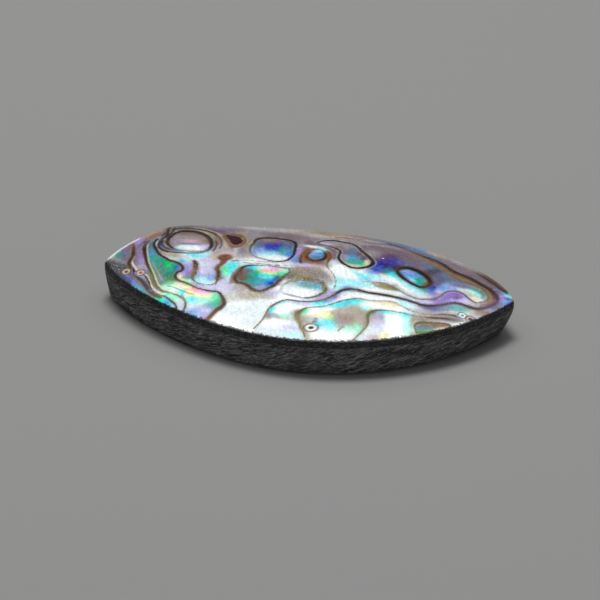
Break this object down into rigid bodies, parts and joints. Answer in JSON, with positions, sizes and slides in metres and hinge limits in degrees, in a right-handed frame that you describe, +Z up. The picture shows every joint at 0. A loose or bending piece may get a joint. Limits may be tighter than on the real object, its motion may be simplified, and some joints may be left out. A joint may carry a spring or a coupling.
{
  "type": "abalone shell cabochon",
  "caption": "Marquise cabochon of polished abalone shell on a black backing, with a low dome and a flat base.",
  "frame": {"origin": "middle of the flat underside, at the centre of the stone's box", "axes": "+X along the length, towards the sharper point; +Y across, towards the edge with the blunt shoulder; +Z up through the dome"},
  "size_m": [0.05, 0.0236, 0.0068],
  "materials": {
    "abalone_nacre": "polished",
    "glue": "satin",
    "black_backing": "matte"
  },
  "bodies": {
    "root": {"shell_slice": "abalone_nacre", "glue_film": "glue", "backing": "black_backing"}
  },
  "joints": []
}
